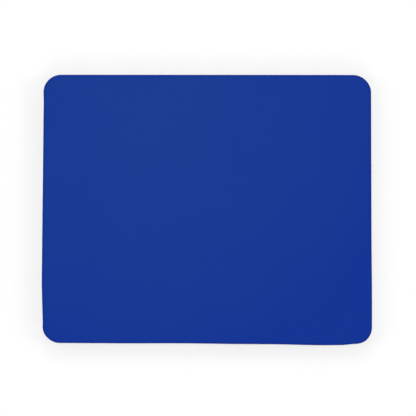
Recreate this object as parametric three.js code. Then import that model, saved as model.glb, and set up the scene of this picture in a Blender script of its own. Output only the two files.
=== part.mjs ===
// A cloth-topped sponge mouse pad, in millimetres, with +Z up.
// The origin lies on the desk under the middle of the pad. +X runs to the right-hand edge
// and +Y to the edge that is furthest from the user.
// Knitted cloth is bonded to a sheet of sponge rubber by a hot-melt film, and one die cuts the three together.

import * as THREE from "three";

// Driving dimensions
const padWidth = 220; // left edge to right edge
const padDepth = 180; // front edge to back edge
const cornerRadius = 11.5; // of the die, at each corner
const spongeThickness = 5.2;
const filmThickness = 0.2;
const clothThickness = 0.6;
const wallDraw = 0.35; // how far the sponge's cut wall is drawn in, at half its height
const rimDip = 0.5; // how far the die leaves the upper edge pressed down
const rimWidth = 2.5; // width of the band along the edge that is pressed down
const clothRoll = 0.25; // radius of the cloth's upper edge

// Steps along the curves
const cornerSteps = 6; // a corner has twice as many sides
const wallSteps = 6;
const rimSteps = 4;
const rollSteps = 3;

// Heights of the flat faces in the middle of the pad
const spongeTop = spongeThickness;
const filmTop = spongeTop + filmThickness;
const clothTop = filmTop + clothThickness;

// How far the pressed rim lies below its flat face, at a distance in from the cut edge
function dipAt(inset) {
  const left = Math.max(0, 1 - inset / rimWidth);
  return rimDip * left * left;
}

// The die's line moved in by inset, as points in counter-clockwise order
function outline(inset) {
  const x = padWidth / 2 - cornerRadius;
  const y = padDepth / 2 - cornerRadius;
  const quarterTurn = Math.PI / 2;
  const corners = [
    [x, -y],
    [x, y],
    [-x, y],
    [-x, -y],
  ];
  const shape = new THREE.Shape();
  corners.forEach(([centreX, centreY], turn) => {
    const start = (turn - 1) * quarterTurn;
    shape.absarc(centreX, centreY, cornerRadius - inset, start, start + quarterTurn, false);
  });
  return shape.getPoints(cornerSteps);
}

// Rings along the rim of a face, from the cut edge in to where the face is flat
function rimRings(faceTop) {
  return Array.from({ length: rimSteps + 1 }, (_, step) => {
    const inset = (rimWidth * step) / rimSteps;
    return { inset, z: faceTop - dipAt(inset) };
  });
}

// Rings up the sponge's cut wall, from the desk to just under its upper edge
function wallRings() {
  const wallTop = spongeTop - dipAt(0);
  return Array.from({ length: wallSteps }, (_, step) => {
    const share = step / wallSteps;
    return { inset: 4 * wallDraw * share * (1 - share), z: wallTop * share };
  });
}

// Rings round the cloth's upper edge, from the upright cut to the pressed rim
function rollRings() {
  const centreZ = clothTop - dipAt(clothRoll) - clothRoll;
  return Array.from({ length: rollSteps + 1 }, (_, step) => {
    const angle = (Math.PI / 2) * (step / rollSteps);
    return { inset: clothRoll * (1 - Math.cos(angle)), z: centreZ + clothRoll * Math.sin(angle) };
  });
}

// A closed solid through rings that run from the rim of its lower face to the rim of its upper face
function throughRings(rings) {
  const outlines = rings.map(({ inset }) => outline(inset));
  const positions = rings.flatMap(({ z }, ring) => outlines[ring].flatMap(({ x, y }) => [x, y, z]));
  const count = outlines[0].length;
  const last = rings.length - 1;
  const triangles = [];
  for (let ring = 0; ring < last; ring += 1) {
    for (let point = 0; point < count; point += 1) {
      const next = (point + 1) % count;
      const [a, b] = [ring * count + point, ring * count + next];
      triangles.push(a, b, b + count, a, b + count, a + count);
    }
  }
  THREE.ShapeUtils.triangulateShape(outlines[0], []).forEach(([a, b, c]) => triangles.push(c, b, a));
  THREE.ShapeUtils.triangulateShape(outlines[last], []).forEach((face) =>
    triangles.push(...face.map((point) => last * count + point)),
  );
  const geometry = new THREE.BufferGeometry();
  geometry.setAttribute("position", new THREE.Float32BufferAttribute(positions, 3));
  geometry.setIndex(triangles);
  geometry.computeVertexNormals();
  return geometry;
}

function layer(name, rings, material) {
  const mesh = new THREE.Mesh(throughRings(rings), material);
  mesh.name = name;
  return mesh;
}

// Black foamed rubber: flat underneath, with a drawn-in wall where the die cut it
function spongeBase() {
  const material = new THREE.MeshStandardMaterial({ color: 0x1c1c1e, roughness: 0.92, metalness: 0 });
  return layer("sponge_base", [...wallRings(), ...rimRings(spongeTop)], material);
}

// The bond between sponge and cloth, which shows only as a fine line in the cut edge
function adhesiveFilm() {
  const material = new THREE.MeshStandardMaterial({ color: 0x6f7686, roughness: 0.45, metalness: 0 });
  return layer("adhesive_film", [...rimRings(spongeTop).reverse(), ...rimRings(filmTop)], material);
}

// Royal blue knitted cloth, the face that the mouse runs on
function clothFace() {
  const material = new THREE.MeshStandardMaterial({ color: 0x1b3a94, roughness: 0.9, metalness: 0 });
  const rimPastRoll = rimRings(clothTop).filter(({ inset }) => inset > clothRoll);
  return layer("cloth_top", [...rimRings(filmTop).reverse(), ...rollRings(), ...rimPastRoll], material);
}

const mousePad = new THREE.Group();
mousePad.name = "mouse_pad";
mousePad.add(spongeBase(), adhesiveFilm(), clothFace());

export default mousePad;
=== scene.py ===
"""Dresses a cloth-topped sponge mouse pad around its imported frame.

The pad is a laminate of three sheets that one die cuts together: knitted cloth on top, a hot-melt film
under it and foamed rubber below. Lengths are in metres, in the frame's own axes, unless a name ends in _mm.
"""

import logging
import math
import random
from collections.abc import Callable
from dataclasses import dataclass
from enum import Enum
from itertools import pairwise

import bmesh
import bpy
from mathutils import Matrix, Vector


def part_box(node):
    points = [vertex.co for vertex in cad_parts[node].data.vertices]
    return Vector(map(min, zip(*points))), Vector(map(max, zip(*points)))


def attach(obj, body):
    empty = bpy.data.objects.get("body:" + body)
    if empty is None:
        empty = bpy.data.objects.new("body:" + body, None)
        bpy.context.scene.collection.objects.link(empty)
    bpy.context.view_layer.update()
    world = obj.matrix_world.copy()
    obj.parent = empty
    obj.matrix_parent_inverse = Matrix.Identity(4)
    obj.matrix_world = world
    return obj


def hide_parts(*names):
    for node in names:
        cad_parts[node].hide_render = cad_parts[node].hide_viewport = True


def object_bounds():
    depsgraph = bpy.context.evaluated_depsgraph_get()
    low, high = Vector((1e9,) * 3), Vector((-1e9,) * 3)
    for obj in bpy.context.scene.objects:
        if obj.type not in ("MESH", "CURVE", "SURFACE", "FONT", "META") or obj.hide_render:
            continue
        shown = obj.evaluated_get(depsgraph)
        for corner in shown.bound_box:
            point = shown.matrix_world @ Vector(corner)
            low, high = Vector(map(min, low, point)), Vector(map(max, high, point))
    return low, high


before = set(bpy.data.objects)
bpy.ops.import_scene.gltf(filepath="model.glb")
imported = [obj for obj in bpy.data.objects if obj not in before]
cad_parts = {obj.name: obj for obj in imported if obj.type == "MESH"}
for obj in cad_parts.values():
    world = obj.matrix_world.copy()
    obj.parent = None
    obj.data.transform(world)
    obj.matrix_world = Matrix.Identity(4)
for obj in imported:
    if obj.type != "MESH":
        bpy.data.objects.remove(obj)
CAD_BOX = [list(corner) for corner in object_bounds()]

MM = 0.001
BODY = "root"
LOG = logging.getLogger("mouse_pad")

WHITE = "#ffffff"

# Edges that turn by more than this stay sharp
SMOOTH_BELOW = math.radians(40)

# Bevel profile at which a point of a wall opens into a circle. The default opens a four-pointed star.
CIRCLE_PROFILE = (1 - math.sqrt(0.5)) ** 2

# Sockets of a Mix node that blends two colours
MIX_A, MIX_B, MIX_RESULT = 6, 7, 2


class Layer(Enum):
    """The sheets of the laminate, from the desk up, each by the name of its node in the frame."""

    SPONGE = "sponge_base"
    FILM = "adhesive_film"
    CLOTH = "cloth_top"


class Part(Enum):
    """What a selection in edit mode is made of."""

    VERTICES = "VERT"
    EDGES = "EDGE"
    FACES = "FACE"


class Side(Enum):
    """Which way a face of a sheet looks, as the sign of its outward direction along Z."""

    UPPER = 1
    LOWER = -1


def choose(piece: bpy.types.Object, part: Part, test: Callable[..., bool]) -> None:
    """Selects what passes a test, and nothing else, in a piece that is open in edit mode.

    Args:
        piece: The open piece.
        part: Whether vertices, edges or faces are tested.
        test: Takes one vertex, edge or face and says whether it is selected.
    """
    bpy.ops.mesh.select_mode(type=part.value)
    bpy.ops.mesh.select_all(action="DESELECT")
    mesh = bmesh.from_edit_mesh(piece.data)
    elements = {Part.VERTICES: mesh.verts, Part.EDGES: mesh.edges, Part.FACES: mesh.faces}[part]
    for element in elements:
        if test(element):
            element.select_set(True)
    mesh.select_flush_mode()
    bmesh.update_edit_mesh(piece.data)


def lift_ring(rise: float) -> None:
    """Extrudes the selected ring of edges straight up by a height."""
    bpy.ops.mesh.extrude_edges_move(TRANSFORM_OT_translate={"value": (0.0, 0.0, rise)})


def close_ring() -> None:
    """Fills the selected ring with one face, which closes the mesh, and turns every face outwards."""
    bpy.ops.mesh.edge_face_add()
    bpy.ops.mesh.select_all(action="SELECT")
    bpy.ops.mesh.normals_make_consistent(inside=False)


def is_lid(face: bmesh.types.BMFace) -> bool:
    """Says whether a face is the many-sided one that closes a sheet from above."""
    return len(face.verts) > 4 and face.normal.z > 0


@dataclass(frozen=True)
class Drift:
    """A stretch where the cut strays from the die's nominal line, as soft sponge lets it.

    Attributes:
        near: Point in plan that the stretch is centred on.
        shift: How far the line moves there, in plan.
        reach: Distance over which the shift dies away.
    """

    near: tuple[float, float]
    shift: tuple[float, float]
    reach: float


@dataclass(frozen=True)
class DieLine:
    """The closed line along which the die cuts all three sheets.

    Attributes:
        width: Left edge to right edge.
        depth: Front edge to back edge.
        corner_radius: Radius of each corner.
        corner_steps: Segments in a corner.
        side_cuts: Cuts that divide a straight side, made twice over.
        drifts: Where the cut strays from the nominal line.
    """

    width: float
    depth: float
    corner_radius: float = 11.5 * MM
    corner_steps: int = 36
    side_cuts: int = 16
    drifts: tuple[Drift, ...] = (
        Drift(near=(-0.110, -0.084), shift=(1.08 * MM, 0.0), reach=0.037),
        Drift(near=(-0.108, -0.083), shift=(-0.26 * MM, 0.0), reach=0.007),
        Drift(near=(-0.016, -0.090), shift=(0.0, 0.25 * MM), reach=0.040),
        Drift(near=(0.076, -0.090), shift=(0.0, -0.45 * MM), reach=0.034),
        Drift(near=(0.099, -0.090), shift=(0.0, 0.60 * MM), reach=0.009),
        Drift(near=(0.110, -0.060), shift=(0.22 * MM, 0.0), reach=0.045),
        Drift(near=(0.106, 0.087), shift=(-0.23 * MM, -0.23 * MM), reach=0.012),
        Drift(near=(-0.110, 0.080), shift=(-0.20 * MM, 0.0), reach=0.010),
    )

    def blank(self, name: str, height: float) -> bpy.types.Object:
        """Makes a piece that is one flat face inside the line, facing down, and leaves it open in edit mode.

        Args:
            name: Name of the new piece.
            height: Height of the face.

        Returns:
            The new piece, at the origin.
        """
        bpy.ops.object.select_all(action="DESELECT")
        bpy.ops.mesh.primitive_plane_add(size=1.0)
        piece = bpy.context.object
        piece.name = name
        bpy.ops.object.mode_set(mode="EDIT")
        bpy.ops.transform.resize(value=(self.width, self.depth, 1.0))
        bpy.ops.transform.translate(value=(0.0, 0.0, height))
        bpy.ops.mesh.bevel(offset=self.corner_radius, segments=self.corner_steps, affect="VERTICES")
        bpy.ops.mesh.delete(type="ONLY_FACE")
        straight = min(self.width, self.depth) / 2
        choose(piece, Part.EDGES, lambda edge: edge.calc_length() > straight)
        bpy.ops.mesh.subdivide(number_cuts=self.side_cuts)
        bpy.ops.mesh.subdivide(number_cuts=self.side_cuts)
        for drift in self.drifts:
            self.stray(piece, drift, height)
        bpy.ops.mesh.select_all(action="SELECT")
        bpy.ops.mesh.edge_face_add()
        (face,) = bmesh.from_edit_mesh(piece.data).faces
        if face.normal.z > 0:
            bpy.ops.mesh.flip_normals()
        return piece

    @staticmethod
    def stray(piece: bpy.types.Object, drift: Drift, height: float) -> None:
        """Moves the open piece's line at one drift, with a fall-off to both sides.

        Args:
            piece: The piece that holds the line.
            drift: Where the line moves, and how far.
            height: Height of the line.
        """
        centre = Vector((*drift.near, height))
        vertices = bmesh.from_edit_mesh(piece.data).verts
        nearest = min(vertices, key=lambda vertex: (vertex.co - centre).length).index
        choose(piece, Part.VERTICES, lambda vertex: vertex.index == nearest)
        bpy.ops.transform.translate(
            value=(*drift.shift, 0.0),
            use_proportional_edit=True,
            proportional_edit_falloff="SMOOTH",
            proportional_size=drift.reach,
        )

    def draw_in(self, before: float, after: float) -> None:
        """Moves the open piece's selected ring from one distance inside the line to another.

        Args:
            before: Distance inside the line that the ring has.
            after: Distance inside the line that it gets.
        """
        scale = [(side - 2 * after) / (side - 2 * before) for side in (self.width, self.depth)]
        bpy.ops.transform.resize(value=(*scale, 1.0), center_override=(0.0, 0.0, 0.0))


@dataclass(frozen=True)
class PressedRim:
    """The band along the cut edge that the die leaves pressed down.

    Attributes:
        drop: How far the edge lies below the flat face.
        width: Width of the band.
        steps: Rings across the band.
    """

    drop: float
    width: float = 2.5 * MM
    steps: int = 5

    def drop_at(self, inset: float) -> float:
        """Gives how far the band lies below the flat face at a distance in from the edge."""
        return self.drop * max(0.0, 1.0 - inset / self.width) ** 2

    def press(self, side: Side, start: float = 0.0) -> None:
        """Insets the open piece's selected face until it is flat, following the band's fall.

        Args:
            side: Which way the selected face looks.
            start: Distance in from the edge at which the selected face begins.
        """
        insets = [start + (self.width - start) * step / self.steps for step in range(self.steps + 1)]
        for near, far in pairwise(insets):
            rise = self.drop_at(near) - self.drop_at(far)
            bpy.ops.mesh.inset(thickness=far - near, depth=side.value * rise)


def linear(hex_colour: str) -> tuple[float, float, float, float]:
    """Turns an sRGB hex colour into the linear colour that a shader socket takes.

    Args:
        hex_colour: Six hex digits after a hash sign.

    Returns:
        Red, green, blue and an alpha of 1.
    """
    shares = [int(hex_colour[place : place + 2], 16) / 255 for place in (1, 3, 5)]
    red, green, blue = [s / 12.92 if s <= 0.04045 else ((s + 0.055) / 1.055) ** 2.4 for s in shares]
    return red, green, blue, 1.0


def add_node(
    tree: bpy.types.NodeTree, kind: str, feeds: dict[str | int, object] | None = None, **settings: str
) -> bpy.types.Node:
    """Adds a node, makes its settings, and sets or links its inputs.

    Args:
        tree: The node tree that the node goes into.
        kind: The type of node, without the ShaderNode that all of them start with.
        feeds: For an input's name or number, the value that it holds or the output that it is linked to.
        **settings: The node's own properties.

    Returns:
        The new node.
    """
    node = tree.nodes.new("ShaderNode" + kind)
    for name, value in settings.items():
        setattr(node, name, value)
    for socket, feed in (feeds or {}).items():
        if isinstance(feed, bpy.types.NodeSocket):
            tree.links.new(feed, node.inputs[socket])
        else:
            node.inputs[socket].default_value = feed
    return node


def new_material(name: str) -> tuple[bpy.types.Material, bpy.types.NodeTree]:
    """Starts a material with no nodes.

    Args:
        name: Name of the material.

    Returns:
        The material and its node tree.
    """
    material = bpy.data.materials.new(name)
    material.use_nodes = True
    material.node_tree.nodes.clear()
    return material, material.node_tree


def add_sight(tree: bpy.types.NodeTree) -> bpy.types.NodeSocket:
    """Adds the nodes that tell the rays in which the background is seen from those that carry its light.

    Args:
        tree: The node tree of the floor or of the dome.

    Returns:
        1 for a ray that comes from the camera, a reflection or a clear body, and 0 for the others.
    """
    path = add_node(tree, "LightPath")
    bent = {0: path.outputs["Is Glossy Ray"], 1: path.outputs["Is Transmission Ray"]}
    through = add_node(tree, "Math", bent, operation="MAXIMUM")
    seen = {0: path.outputs["Is Camera Ray"], 1: through.outputs[0]}
    return add_node(tree, "Math", seen, operation="MAXIMUM").outputs[0]


@dataclass(frozen=True)
class KnittedPolyester:
    """Dyed polyester jersey, heat-set flat: matt columns of V stitches, with a faint sheen from the fibres.

    Attributes:
        top: Height of the cloth's flat face.
        edge: Height of the cloth's upper edge, at the cut.
        highlit: Colour in the middle of a broad painted highlight, paler towards the back left.
        deep: Colour far from that highlight.
        highlight_centre: The highlight's middle, in plan.
        highlight_reach_mm: Distance from its middle at which the cloth is as deep as it gets.
        cloud_mm: Size of the cloudy shade differences from bonding.
        cloud_share: How far those clouds deepen the colour, at most.
        pressed: Colour at the cut edge, which the face darkens to across the pressed band.
        cut_ends: Colour of the fibre ends in the cut edge.
        cut_band_mm: How far below the edge the fibre ends begin to show, and show fully.
        wale_mm: Spacing of the stitch columns. Real ones are about 0.7 mm apart, too fine to show.
        course_mm: Spacing of the stitch rows, drawn coarser by the same share.
        slant: Rows that a stitch's legs climb from the middle of its column to the side.
        row_dip: How far a leg rises and sinks from row to row, as a share of its height.
        fibre_mm: Size of the mottling from single fibres.
        fibre_share: How far single fibres lift the yarn, as a share of its height.
        yarn_heights: Height of the gaps and of the crowns, with the fibres' share added.
        relief: Share of the colour kept in the gaps and on the crowns: painted shade in the gaps, painted
            light on the crowns.
        roughness: Roughness in the gaps and on the crowns.
        loop_height_mm: How far the yarn stands up.
        bump: How strongly that shows in the shading, from 0 to 1.
        ior: Index of refraction of polyester.
        gloss: Specular level of the matt yarn, of which 0.5 is what the index alone gives.
        sheen: Strength of the sheen from the fibre ends that stand off the face.
        sheen_roughness: Roughness of that sheen.
        sheen_tint: Colour of that sheen.
    """

    top: float
    edge: float
    # A broad painted highlight: the face is painted paler round a point towards the back left, fading to the
    # deep colour
    highlit: str = "#143990"
    deep: str = "#0a3192"
    highlight_centre: tuple[float, float] = (-0.038, 0.066)
    highlight_reach_mm: float = 174.0
    cloud_mm: float = 38.0
    cloud_share: float = 0.3
    pressed: str = "#02268a"
    cut_ends: str = "#2a4ba6"
    cut_band_mm: tuple[float, float] = (0.1, 0.3)
    wale_mm: float = 2.0
    course_mm: float = 1.6
    slant: float = 0.8
    row_dip: float = 0.3
    fibre_mm: float = 0.9
    fibre_share: float = 0.5
    yarn_heights: tuple[float, float] = (0.25, 1.15)
    # Painted shade in the knit's gaps and painted light on its crowns
    relief: tuple[float, float] = (0.88, 1.15)
    roughness: tuple[float, float] = (0.95, 0.82)
    loop_height_mm: float = 0.12
    bump: float = 0.35
    ior: float = 1.57
    gloss: float = 0.1
    sheen: float = 0.12
    sheen_roughness: float = 0.45
    sheen_tint: str = "#5f86e8"

    def material(self) -> bpy.types.Material:
        """Makes the cloth's material.

        Returns:
            The material.
        """
        material, tree = new_material("knitted polyester")
        place = add_node(tree, "TexCoord").outputs["Object"]
        loops = self.add_loops(tree, place)
        mottle = {"Vector": place, "Scale": 1 / (self.fibre_mm * MM), "Detail": 3.0}
        fibres = add_node(tree, "TexNoise", mottle).outputs[0]
        lifted = {0: fibres, 1: self.fibre_share, 2: loops}
        yarn = add_node(tree, "Math", lifted, operation="MULTIPLY_ADD").outputs[0]
        gaps, crowns = self.roughness
        rough = add_node(tree, "MapRange", {"Value": loops, "To Min": gaps, "To Max": crowns})
        raised = {"Strength": self.bump, "Distance": self.loop_height_mm * MM, "Height": yarn}
        surface = {
            "Base Color": self.add_colour(tree, place, yarn),
            "Roughness": rough.outputs[0],
            "Normal": add_node(tree, "Bump", raised).outputs[0],
            "IOR": self.ior,
            "Specular IOR Level": self.gloss,
            "Sheen Weight": self.sheen,
            "Sheen Roughness": self.sheen_roughness,
            "Sheen Tint": linear(self.sheen_tint),
        }
        shader = add_node(tree, "BsdfPrincipled", surface)
        add_node(tree, "OutputMaterial", {"Surface": shader.outputs["BSDF"]})
        return material

    def add_loops(self, tree: bpy.types.NodeTree, place: bpy.types.NodeSocket) -> bpy.types.NodeSocket:
        """Adds the nodes that draw columns of V stitches.

        Args:
            tree: The material's node tree.
            place: Object coordinates.

        Returns:
            The yarn's height, from 0 in the gaps to 1 on the crowns.
        """
        per_metre = (1 / (self.wale_mm * MM), 1 / (self.course_mm * MM), 1.0)
        stitches = add_node(tree, "Mapping", {"Vector": place, "Scale": per_metre})
        counts = add_node(tree, "SeparateXYZ", {"Vector": stitches.outputs[0]})
        # Folded down its middle, a column shows two legs that mirror each other
        across = add_node(tree, "Math", {0: counts.outputs["X"], 1: 0.5}, operation="PINGPONG").outputs[0]
        climbing = {0: across, 1: -2 * self.slant, 2: counts.outputs["Y"]}
        climb = add_node(tree, "Math", climbing, operation="MULTIPLY_ADD")
        row_turn = add_node(tree, "Math", {0: climb.outputs[0], 1: math.tau}, operation="MULTIPLY")
        row_wave = add_node(tree, "Math", {0: row_turn.outputs[0]}, operation="SINE")
        dipping = {0: row_wave.outputs[0], 1: self.row_dip, 2: 1 - self.row_dip}
        ridge = add_node(tree, "Math", dipping, operation="MULTIPLY_ADD")
        leg_turn = add_node(tree, "Math", {0: across, 1: math.tau}, operation="MULTIPLY")
        leg = add_node(tree, "Math", {0: leg_turn.outputs[0]}, operation="SINE")
        legs = {0: leg.outputs[0], 1: ridge.outputs[0]}
        return add_node(tree, "Math", legs, operation="MULTIPLY").outputs[0]

    def add_colour(
        self, tree: bpy.types.NodeTree, place: bpy.types.NodeSocket, yarn: bpy.types.NodeSocket
    ) -> bpy.types.NodeSocket:
        """Adds the nodes that colour the face, with a painted highlight and painted shade in the knit's
        gaps, the pressed rim and the cut edge.

        Args:
            tree: The material's node tree.
            place: Object coordinates.
            yarn: The yarn's height, with its fibres.

        Returns:
            The colour.
        """
        # Faint clouds, and a broad painted highlight that is paler round one point of the face
        clouds_and_highlight = {0: self.add_highlight_and_clouds(tree, place), MIX_A: linear(self.highlit), MIX_B: linear(self.deep)}
        clouded_and_highlit = add_node(tree, "Mix", clouds_and_highlight, data_type="RGBA").outputs[MIX_RESULT]
        # Painted shade in the knit's gaps and painted light on its crowns, with the fibres' random mottle
        low, high = self.yarn_heights
        gaps, crowns = self.relief
        heights = {"Value": yarn, "From Min": low, "From Max": high, "To Min": gaps, "To Max": crowns}
        shading = {0: 1.0, MIX_A: clouded_and_highlit, MIX_B: add_node(tree, "MapRange", heights).outputs[0]}
        knitted = add_node(tree, "Mix", shading, data_type="RGBA", blend_type="MULTIPLY")
        # Darker towards the cut edge, the lower the pressed band lies
        height = add_node(tree, "SeparateXYZ", {"Vector": place}).outputs["Z"]
        rim_drop_share = add_node(tree, "MapRange", {"Value": height, "From Min": self.top, "From Max": self.edge})
        rim = {0: rim_drop_share.outputs[0], MIX_A: knitted.outputs[MIX_RESULT], MIX_B: linear(self.pressed)}
        rimmed = add_node(tree, "Mix", rim, data_type="RGBA")
        begins, ends = (self.edge - depth * MM for depth in self.cut_band_mm)
        cut = add_node(tree, "MapRange", {"Value": height, "From Min": begins, "From Max": ends})
        fibre_ends = {0: cut.outputs[0], MIX_A: rimmed.outputs[MIX_RESULT], MIX_B: linear(self.cut_ends)}
        return add_node(tree, "Mix", fibre_ends, data_type="RGBA").outputs[MIX_RESULT]

    def add_highlight_and_clouds(self, tree: bpy.types.NodeTree, place: bpy.types.NodeSocket) -> bpy.types.NodeSocket:
        """Adds the nodes that paint a broad highlight, paler round one point of the face, and faint clouds
        in the colour.

        Args:
            tree: The material's node tree.
            place: Object coordinates.

        Returns:
            How far the colour is from that of the highlight's middle, from 0 to 1.
        """
        # Painted highlight: paler near this point, the less the farther away
        middle = (*self.highlight_centre, self.top)
        away = add_node(tree, "VectorMath", {0: place, 1: middle}, operation="DISTANCE")
        reach = {0: away.outputs["Value"], 1: self.highlight_reach_mm * MM}
        share = add_node(tree, "Math", reach, operation="DIVIDE")
        patch = add_node(tree, "Math", {0: share.outputs[0], 1: 2.0}, operation="POWER")
        cloud = {"Vector": place, "Scale": 1 / (self.cloud_mm * MM), "Detail": 2.0}
        clouds = add_node(tree, "TexNoise", cloud)
        clouding = {0: clouds.outputs[0], 1: self.cloud_share, 2: patch.outputs[0]}
        mixed = add_node(tree, "Math", clouding, operation="MULTIPLY_ADD")
        usual = self.cloud_share / 2
        depths = {"Value": mixed.outputs[0], "From Min": usual, "From Max": 1 + usual}
        return add_node(tree, "MapRange", depths).outputs[0]


@dataclass(frozen=True)
class HotMelt:
    """Hot-melt adhesive, pressed between the sheets while soft: a milky, slightly glossy line in the cut.

    Attributes:
        clear: Colour where the film is whole.
        soaked: Colour where it has soaked into the cloth's back and taken up dye.
        patch_mm: Length of the patches along the edge.
        patch_range: Noise at which the film is whole, and at which it is soaked up.
        roughness: Roughness of the whole and of the soaked film.
        ripple_mm: Height of its ripples.
        bump: How strongly they show in the shading, from 0 to 1.
        ior: Index of refraction of the adhesive.
    """

    clear: str = "#7c8394"
    soaked: str = "#3d4a78"
    patch_mm: float = 3.0
    patch_range: tuple[float, float] = (0.35, 0.65)
    roughness: tuple[float, float] = (0.35, 0.6)
    ripple_mm: float = 0.05
    bump: float = 0.3
    ior: float = 1.48

    def material(self) -> bpy.types.Material:
        """Makes the film's material.

        Returns:
            The material.
        """
        material, tree = new_material("hot-melt film")
        place = add_node(tree, "TexCoord").outputs["Object"]
        patch = {"Vector": place, "Scale": 1 / (self.patch_mm * MM), "Detail": 2.0}
        patches = add_node(tree, "TexNoise", patch).outputs[0]
        whole, soaked = self.patch_range
        soaking = {"Value": patches, "From Min": whole, "From Max": soaked}
        share = add_node(tree, "MapRange", soaking).outputs[0]
        tint = {0: share, MIX_A: linear(self.clear), MIX_B: linear(self.soaked)}
        colour = add_node(tree, "Mix", tint, data_type="RGBA")
        smooth, dull = self.roughness
        rough = add_node(tree, "MapRange", {"Value": share, "To Min": smooth, "To Max": dull})
        raised = {"Strength": self.bump, "Distance": self.ripple_mm * MM, "Height": patches}
        surface = {
            "Base Color": colour.outputs[MIX_RESULT],
            "Roughness": rough.outputs[0],
            "Normal": add_node(tree, "Bump", raised).outputs[0],
            "IOR": self.ior,
        }
        shader = add_node(tree, "BsdfPrincipled", surface)
        add_node(tree, "OutputMaterial", {"Surface": shader.outputs["BSDF"]})
        return material


@dataclass(frozen=True)
class FoamedRubber:
    """Black foamed rubber: dull and full of cells where it is cut, faintly shiny where it is moulded.

    Attributes:
        name: Name of the material.
        wall: Colour of the rubber between the cells.
        shaded_hollow: Colour down in the cells, a painted shade.
        cell_mm: Spacing of the cells, drawn coarser than the real 0.3 mm so that they show.
        cell_depth_mm: Depth of the cells.
        roughness: Roughness between the cells and down in them.
        blotch_cells: Size of the dusty blotches, in cells.
        blotch_share: How far the blotches change the tone, as a share of what the cells do.
        tones: Tone at which the colour is the painted shade of a hollow, and at which it is that of the
            rubber.
        bump: How strongly the cells show in the shading, from 0 to 1.
        ior: Index of refraction of rubber.
        gloss: Specular level of its dull surface, of which 0.5 is what the index alone gives.
    """

    name: str
    wall: str
    shaded_hollow: str
    cell_mm: float
    cell_depth_mm: float
    roughness: tuple[float, float]
    blotch_cells: float = 6.0
    blotch_share: float = 0.6
    tones: tuple[float, float] = (0.3, 0.95)
    bump: float = 0.6
    ior: float = 1.52
    gloss: float = 0.3

    def material(self) -> bpy.types.Material:
        """Makes the rubber's material.

        Returns:
            The material.
        """
        material, tree = new_material(self.name)
        place = add_node(tree, "TexCoord").outputs["Object"]
        cell = {"Vector": place, "Scale": 1 / (self.cell_mm * MM)}
        cells = add_node(tree, "TexVoronoi", cell, feature="SMOOTH_F1").outputs["Distance"]
        blotch = {"Vector": place, "Scale": 1 / (self.blotch_cells * self.cell_mm * MM), "Detail": 4.0}
        blotches = add_node(tree, "TexNoise", blotch).outputs[0]
        # Painted shade: each cell darker towards its middle, with random dusty blotches mixed in
        dust_and_cell_shade = {0: blotches, 1: self.blotch_share, 2: cells}
        tone = add_node(tree, "Math", dust_and_cell_shade, operation="MULTIPLY_ADD").outputs[0]
        dark, light = self.tones
        share = add_node(tree, "MapRange", {"Value": tone, "From Min": dark, "From Max": light}).outputs[0]
        tint = {0: share, MIX_A: linear(self.shaded_hollow), MIX_B: linear(self.wall)}
        colour = add_node(tree, "Mix", tint, data_type="RGBA")
        between, inside = self.roughness
        rough = add_node(tree, "MapRange", {"Value": share, "To Min": inside, "To Max": between})
        raised = {"Strength": self.bump, "Distance": self.cell_depth_mm * MM, "Height": cells}
        surface = {
            "Base Color": colour.outputs[MIX_RESULT],
            "Roughness": rough.outputs[0],
            "Normal": add_node(tree, "Bump", raised).outputs[0],
            "IOR": self.ior,
            "Specular IOR Level": self.gloss,
        }
        shader = add_node(tree, "BsdfPrincipled", surface)
        add_node(tree, "OutputMaterial", {"Surface": shader.outputs["BSDF"]})
        return material


CUT_RUBBER = FoamedRubber(
    name="cut foamed rubber",
    wall="#2b2b2d",
    # painted shade down in the cells
    shaded_hollow="#101011",
    cell_mm=0.8,
    cell_depth_mm=0.15,
    roughness=(0.85, 0.98),
)
RUBBER_SKIN = FoamedRubber(
    name="moulded rubber skin",
    wall="#242426",
    # painted shade down in the cells
    shaded_hollow="#1b1b1c",
    cell_mm=0.5,
    cell_depth_mm=0.02,
    roughness=(0.6, 0.75),
)


@dataclass(frozen=True)
class Place:
    """What a piece stands for in the frame.

    Attributes:
        name: Name of the piece.
        layer: Sheet of the frame that it replaces.
    """

    name: str
    layer: Layer

    def settle(self, piece: bpy.types.Object) -> None:
        """Ties a finished piece to the frame.

        Args:
            piece: The finished piece.
        """
        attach(piece, BODY)
        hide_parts(self.layer.value)


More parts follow.
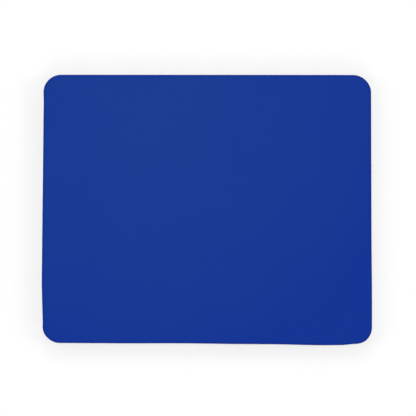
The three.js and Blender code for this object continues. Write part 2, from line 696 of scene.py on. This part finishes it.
@dataclass(frozen=True)
class BondedSheet:
    """A thin sheet of the laminate, which follows the pressed rim on both faces.

    Attributes:
        place: What the sheet stands for.
        finish: What the sheet is made of.
        line: The die's line.
        rim: The pressed band along the edge.
        lower: Height of the flat underside.
        upper: Height of the flat upper face.
        set_back: How far the sheet's cut edge lies inside the die's line.
        roll: Radius of the upper edge.
        roll_steps: Rings round the upper edge.
        cut_wander: How far single points of the cut edge stray.
        seed: Seed of that straying.
    """

    place: Place
    finish: HotMelt | KnittedPolyester
    line: DieLine
    rim: PressedRim
    lower: float
    upper: float
    set_back: float = 0.0
    roll: float = 0.0
    roll_steps: int = 4
    cut_wander: float = 0.03 * MM
    seed: int = 1

    def build(self) -> bpy.types.Object:
        """Models the sheet as one closed mesh and dresses it.

        Returns:
            The sheet, in object mode.
        """
        edge_bottom = self.lower - self.rim.drop
        edge_top = self.upper - self.rim.drop_at(self.roll) - self.roll
        piece = self.line.blank(self.place.name, edge_bottom)
        self.line.draw_in(0.0, self.set_back)
        self.rim.press(Side.LOWER)
        choose(piece, Part.EDGES, lambda edge: edge.is_boundary)
        lift_ring(edge_top - edge_bottom)
        close_ring()
        choose(piece, Part.FACES, is_lid)
        self.round_edge()
        self.rim.press(Side.UPPER, start=self.roll)
        self.roughen_cut(piece, (edge_bottom, edge_top))
        bpy.ops.object.mode_set(mode="OBJECT")
        bpy.ops.object.shade_smooth_by_angle(angle=SMOOTH_BELOW)
        piece.data.materials.append(self.finish.material())
        self.place.settle(piece)
        return piece

    def round_edge(self) -> None:
        """Insets and lifts the selected face round a quarter circle, to round the upper edge."""
        if not self.roll:
            return
        angles = [math.pi / 2 * step / self.roll_steps for step in range(self.roll_steps + 1)]
        for below, above in pairwise(angles):
            inward = self.roll * (math.cos(below) - math.cos(above))
            upward = self.roll * (math.sin(above) - math.sin(below))
            bpy.ops.mesh.inset(thickness=inward, depth=upward)

    def roughen_cut(self, piece: bpy.types.Object, levels: tuple[float, float]) -> None:
        """Strays the points of the cut edge a little, as blade and fibres leave them.

        Args:
            piece: The open sheet.
            levels: Heights of the bottom and the top of the upright cut.
        """
        near = 0.01 * MM
        choose(piece, Part.VERTICES, lambda vertex: any(abs(vertex.co.z - level) < near for level in levels))
        bpy.ops.transform.vertex_random(offset=self.cut_wander, seed=self.seed)


@dataclass(frozen=True)
class OpenCell:
    """One size of the foam's cells, where the die has cut them open.

    Attributes:
        chance: Chance that a free point of the wall holds one.
        radius: Radius of its mouth.
        depth: How deep it goes.
        taper: How far it narrows from its mouth to its floor.
        mouth_steps: Segments in a quarter of its mouth.
    """

    chance: float
    radius: float
    depth: float
    taper: float
    mouth_steps: int = 2

    @staticmethod
    def has_room(point: bmesh.types.BMVert) -> bool:
        """Says whether a point of the wall has four whole faces round it and no chosen neighbour."""
        whole = all(len(face.verts) == 4 for face in point.link_faces)
        return whole and not any(edge.other_vert(point).select for edge in point.link_edges)

    def sink(
        self, piece: bpy.types.Object, on_wall: Callable[[bmesh.types.BMVert], bool], draw: random.Random
    ) -> None:
        """Opens cells at points of the open piece's wall that chance picks.

        Args:
            piece: The open piece.
            on_wall: Says whether a point lies on the wall.
            draw: Source of the random draws.
        """
        choose(
            piece,
            Part.VERTICES,
            lambda point: on_wall(point) and self.has_room(point) and draw.random() < self.chance,
        )
        bpy.ops.mesh.bevel(
            offset=self.radius, segments=self.mouth_steps, profile=CIRCLE_PROFILE, affect="VERTICES"
        )
        bpy.ops.mesh.select_mode(type=Part.FACES.value)
        bpy.ops.mesh.inset(thickness=self.taper, depth=-self.depth)


@dataclass(frozen=True)
class SpongeBase:
    """The thick foamed rubber sheet, with a drawn-in cut wall and a grip pattern embossed underneath.

    Attributes:
        place: What the base stands for.
        line: The die's line.
        rim: The pressed band along the upper edge.
        upper: Height of the flat upper face.
        wall_draw: How far the cut wall is drawn in at half its height.
        wall_rows: Rows of faces up the wall.
        cells: The sizes of cell that are open in the wall, the largest first.
        cut_wander: How far single points of the wall stray.
        stud_pitch: Spacing of the studs underneath.
        groove_depth: Depth of the grooves between the studs, which is also the width of their slopes.
        cut: Finish of the wall.
        skin: Finish of the underside.
        seed: Seed of the random draws.
    """

    place: Place
    line: DieLine
    rim: PressedRim
    upper: float
    wall_draw: float = 0.35 * MM
    wall_rows: int = 10
    cells: tuple[OpenCell, ...] = (
        OpenCell(chance=0.09, radius=0.24 * MM, depth=0.3 * MM, taper=0.06 * MM),
        OpenCell(chance=0.25, radius=0.13 * MM, depth=0.16 * MM, taper=0.03 * MM),
    )
    cut_wander: float = 0.1 * MM
    stud_pitch: float = 3.0 * MM
    groove_depth: float = 0.35 * MM
    cut: FoamedRubber = CUT_RUBBER
    skin: FoamedRubber = RUBBER_SKIN
    seed: int = 7

    def build(self) -> bpy.types.Object:
        """Models the base as one closed mesh, the embossed sheet inside the die's cut, and dresses it.

        Returns:
            The base, in object mode.
        """
        sheet = self.embossed_sheet()
        piece = self.cut_body()
        self.emboss(piece, sheet)
        bpy.ops.object.shade_smooth_by_angle(angle=SMOOTH_BELOW)
        self.dress(piece)
        self.place.settle(piece)
        return piece

    @staticmethod
    def emboss(piece: bpy.types.Object, sheet: bpy.types.Object) -> None:
        """Keeps what the body shares with the embossed block, and deletes the block.

        Args:
            piece: The body, in object mode.
            sheet: The block.
        """
        stamp = piece.modifiers.new("emboss", "BOOLEAN")
        stamp.operation = "INTERSECT"
        stamp.solver = "MANIFOLD"
        stamp.object = sheet
        bpy.ops.object.modifier_apply(modifier=stamp.name)
        bpy.data.objects.remove(sheet)
        bpy.ops.object.mode_set(mode="EDIT")
        # The cut leaves spare points along straight edges, which would give doubled slivers as triangles
        choose(piece, Part.VERTICES, lambda point: len(point.link_edges) == 2)
        bpy.ops.mesh.dissolve_verts()
        bpy.ops.object.mode_set(mode="OBJECT")

    def embossed_sheet(self) -> bpy.types.Object:
        """Models a block, larger than the pad, whose underside has a diamond pattern of studs.

        Returns:
            The block, in object mode.
        """
        across = math.ceil(math.hypot(self.line.width, self.line.depth) / self.stud_pitch) + 1
        side = across * self.stud_pitch
        bpy.ops.object.select_all(action="DESELECT")
        bpy.ops.mesh.primitive_grid_add(x_subdivisions=across, y_subdivisions=across, size=side)
        sheet = bpy.context.object
        bpy.ops.object.mode_set(mode="EDIT")
        bpy.ops.transform.rotate(value=math.radians(45), orient_axis="Z", center_override=(0.0, 0.0, 0.0))
        bpy.ops.transform.translate(value=(0.0, 0.0, self.groove_depth))
        bpy.ops.mesh.flip_normals()
        bpy.ops.mesh.inset(thickness=self.groove_depth, depth=self.groove_depth, use_individual=True)
        choose(sheet, Part.EDGES, lambda edge: edge.is_boundary)
        lift_ring(2 * self.upper)
        close_ring()
        bpy.ops.object.mode_set(mode="OBJECT")
        return sheet

    def cut_body(self) -> bpy.types.Object:
        """Models the space inside the die's cut, from a little below the desk to the upper face.

        Returns:
            The body, in object mode.
        """
        foot = -self.groove_depth
        wall_top = self.upper - self.rim.drop
        rise = (wall_top - foot) / self.wall_rows
        shares = [(foot + rise * row) / wall_top for row in range(self.wall_rows + 1)]
        # A parabola up the wall, which is nothing at the desk and at the top
        draws = [4 * self.wall_draw * share * (1 - share) for share in shares]
        piece = self.line.blank(self.place.name, foot)
        self.line.draw_in(0.0, draws[0])
        choose(piece, Part.EDGES, lambda edge: edge.is_boundary)
        for before, after in pairwise(draws):
            lift_ring(rise)
            self.line.draw_in(before, after)
        close_ring()
        choose(piece, Part.FACES, is_lid)
        self.rim.press(Side.UPPER)
        self.roughen_wall(piece, wall_top)
        bpy.ops.object.mode_set(mode="OBJECT")
        return piece

    def roughen_wall(self, piece: bpy.types.Object, wall_top: float) -> None:
        """Strays the points of the open body's wall and sinks open cells into it.

        Args:
            piece: The open body.
            wall_top: Height of the top of the wall.
        """
        margin = wall_top / self.wall_rows / 2  # keeps off the edges of the wall

        def on_wall(point: bmesh.types.BMVert) -> bool:
            """Says whether a point lies between the wall's lowest and highest rings."""
            return margin < point.co.z < wall_top - margin

        choose(piece, Part.VERTICES, on_wall)
        bpy.ops.transform.vertex_random(offset=self.cut_wander, seed=self.seed)
        draw = random.Random(self.seed)
        for cell in self.cells:
            cell.sink(piece, on_wall, draw)

    def dress(self, piece: bpy.types.Object) -> None:
        """Gives the wall and the underside their finishes.

        Args:
            piece: The base.
        """
        piece.data.materials.clear()  # embossing leaves an empty slot
        piece.data.materials.append(self.cut.material())
        piece.data.materials.append(self.skin.material())
        skin_top = 2 * self.groove_depth
        faces_down = -0.4
        for face in piece.data.polygons:
            face.material_index = int(face.normal.z < faces_down and face.center.z < skin_top)


@dataclass(frozen=True)
class Lamp:
    """A soft panel of light, far enough away to light the whole floor alike.

    Attributes:
        name: Name of the lamp.
        azimuth_deg: Direction that it stands in, counter-clockwise from +X.
        elevation_deg: Height above the floor.
        share: Share of the floor's light that comes from it.
        spread_deg: How wide the panel looks from the pad.
    """

    name: str
    azimuth_deg: float
    elevation_deg: float
    share: float
    spread_deg: float = 20.0

    def build(self) -> None:
        """Adds the lamp."""
        tilt = (0.0, math.radians(90 - self.elevation_deg), math.radians(self.azimuth_deg))
        bpy.ops.object.light_add(type="SUN", rotation=tilt)
        lamp = bpy.context.object
        lamp.name = self.name
        lamp.data.angle = math.radians(self.spread_deg)
        lamp.data.energy = self.share * math.pi / math.sin(math.radians(self.elevation_deg))


@dataclass(frozen=True)
class Studio:
    """A white floor under soft light, and the camera that looks down at the pad.

    Attributes:
        dome_share: Share of the floor's light that comes evenly from all round.
        lamps: The panels that give the rest, over the pad and all round it.
        floor_side: Side of the square floor.
        floor_gap: How far the floor lies below the pad's studs.
        floor_bounce: Colour with which the floor throws light back.
        lens_mm: Focal length.
        sensor_mm: Width of the picture in the camera.
        camera_place: Where the camera stands.
        camera_turn_deg: How it is turned from looking straight down, about X, Y and Z.
    """

    dome_share: float = 0.137
    lamps: tuple[Lamp, ...] = (
        Lamp("overhead_panel", azimuth_deg=120, elevation_deg=88, share=0.617),
        Lamp("right_panel", azimuth_deg=0, elevation_deg=18, share=0.058),
        Lamp("back_right_panel", azimuth_deg=45, elevation_deg=21.5, share=0.016),
        Lamp("back_panel", azimuth_deg=90, elevation_deg=23, share=0.051),
        Lamp("back_left_panel", azimuth_deg=135, elevation_deg=26, share=0.025),
        Lamp("left_panel", azimuth_deg=180, elevation_deg=21.5, share=0.037),
        Lamp("front_left_panel", azimuth_deg=225, elevation_deg=44, share=0.011),
        Lamp("front_panel", azimuth_deg=270, elevation_deg=22, share=0.043),
        Lamp("front_right_panel", azimuth_deg=315, elevation_deg=15.5, share=0.010),
    )
    floor_side: float = 6.0
    floor_gap: float = 0.02 * MM
    floor_bounce: str = "#e8e8e8"
    lens_mm: float = 85.0
    sensor_mm: float = 36.0
    camera_place: tuple[float, float, float] = (0.01357, -0.027375, 0.66139)
    camera_turn_deg: tuple[float, float, float] = (2.427, 1.085, 0.236)

    def build(self) -> None:
        """Builds the floor, the light and the camera."""
        self.add_floor()
        self.add_dome()
        for lamp in self.lamps:
            lamp.build()
        self.add_camera()
        bpy.context.scene.view_settings.view_transform = "Standard"

    def add_floor(self) -> None:
        """Adds the white floor, which keeps the pad's shadow."""
        bpy.ops.object.select_all(action="DESELECT")
        bpy.ops.mesh.primitive_plane_add(size=self.floor_side, location=(0.0, 0.0, -self.floor_gap))
        floor = bpy.context.object
        floor.name = "floor"
        material, tree = new_material("white floor")
        whites = {0: add_sight(tree), MIX_A: linear(self.floor_bounce), MIX_B: linear(WHITE)}
        colour = add_node(tree, "Mix", whites, data_type="RGBA")
        paint = add_node(tree, "BsdfDiffuse", {"Color": colour.outputs[MIX_RESULT]})
        add_node(tree, "OutputMaterial", {"Surface": paint.outputs[0]})
        floor.data.materials.append(material)

    def add_dome(self) -> None:
        """Adds an even white dome, which looks white whatever share of the light it gives."""
        world = bpy.data.worlds.new("white dome")
        world.use_nodes = True
        tree = world.node_tree
        tree.nodes.clear()
        light = add_node(tree, "Background", {"Color": linear(WHITE), "Strength": self.dome_share})
        white = add_node(tree, "Background", {"Color": linear(WHITE), "Strength": 1.0})
        sky = add_node(tree, "MixShader", {0: add_sight(tree), 1: light.outputs[0], 2: white.outputs[0]})
        add_node(tree, "OutputWorld", {"Surface": sky.outputs[0]})
        bpy.context.scene.world = world

    def add_camera(self) -> None:
        """Adds the camera, almost straight above the pad."""
        turn = [math.radians(angle) for angle in self.camera_turn_deg]
        bpy.ops.object.camera_add(location=self.camera_place, rotation=turn)
        camera = bpy.context.object
        camera.data.sensor_width = self.sensor_mm
        camera.data.lens = self.lens_mm
        bpy.context.scene.camera = camera


@dataclass(frozen=True)
class MousePad:
    """The whole laminate, with its sizes read from the frame.

    Attributes:
        line: The die's line.
        rim: The pressed band along the edge.
        sponge_top: Height of the sponge's flat upper face.
        film_top: Height of the film's flat upper face.
        cloth_top: Height of the cloth's flat face.
        cloth_roll: Radius of the cloth's upper edge.
        film_set_back: How far the film's edge lies inside the cut.
        film_wander: How far single points of the film's edge stray.
    """

    line: DieLine
    rim: PressedRim
    sponge_top: float
    film_top: float
    cloth_top: float
    cloth_roll: float = 0.25 * MM
    film_set_back: float = 0.08 * MM
    film_wander: float = 0.05 * MM

    @classmethod
    def from_frame(cls) -> "MousePad":
        """Reads the pad's width, depth and layer heights from the frame.

        Returns:
            The pad.
        """
        low, high = (Vector(corner) for corner in CAD_BOX)
        film_low, film_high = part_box(Layer.FILM.value)
        sponge_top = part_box(Layer.SPONGE.value)[1].z
        return cls(
            line=DieLine(width=high.x - low.x, depth=high.y - low.y),
            rim=PressedRim(drop=sponge_top - film_low.z),
            sponge_top=sponge_top,
            film_top=film_high.z,
            cloth_top=high.z,
        )

    def build(self) -> list[bpy.types.Object]:
        """Builds and dresses the three sheets.

        Returns:
            The sheets, from the desk up.
        """
        sponge = self.build_sponge()
        film = self.build_film()
        cloth = self.build_cloth()
        return [sponge, film, cloth]

    def build_sponge(self) -> bpy.types.Object:
        """Builds the foamed rubber base.

        Returns:
            The base.
        """
        place = Place(name="sponge_rubber", layer=Layer.SPONGE)
        piece = SpongeBase(place=place, line=self.line, rim=self.rim, upper=self.sponge_top).build()
        return piece

    def build_film(self) -> bpy.types.Object:
        """Builds the hot-melt film.

        Returns:
            The film.
        """
        film = BondedSheet(
            place=Place(name="glue_film", layer=Layer.FILM),
            finish=HotMelt(),
            line=self.line,
            rim=self.rim,
            lower=self.sponge_top,
            upper=self.film_top,
            set_back=self.film_set_back,
            cut_wander=self.film_wander,
            seed=3,
        )
        return film.build()

    def build_cloth(self) -> bpy.types.Object:
        """Builds the knitted cloth face.


        Returns:
            The cloth.
        """
        cloth = BondedSheet(
            place=Place(name="knitted_cloth", layer=Layer.CLOTH),
            finish=KnittedPolyester(top=self.cloth_top, edge=self.cloth_top - self.rim.drop),
            line=self.line,
            rim=self.rim,
            lower=self.film_top,
            upper=self.cloth_top,
            roll=self.cloth_roll,
        )
        piece = cloth.build()
        return piece


def main() -> None:
    """Builds the studio and the pad, and reports each piece."""
    logging.basicConfig(level=logging.INFO, format="%(message)s")
    Studio().build()
    for piece in MousePad.from_frame().build():
        LOG.info("%s: %d faces", piece.name, len(piece.data.polygons))


if __name__ == "__main__":
    main()
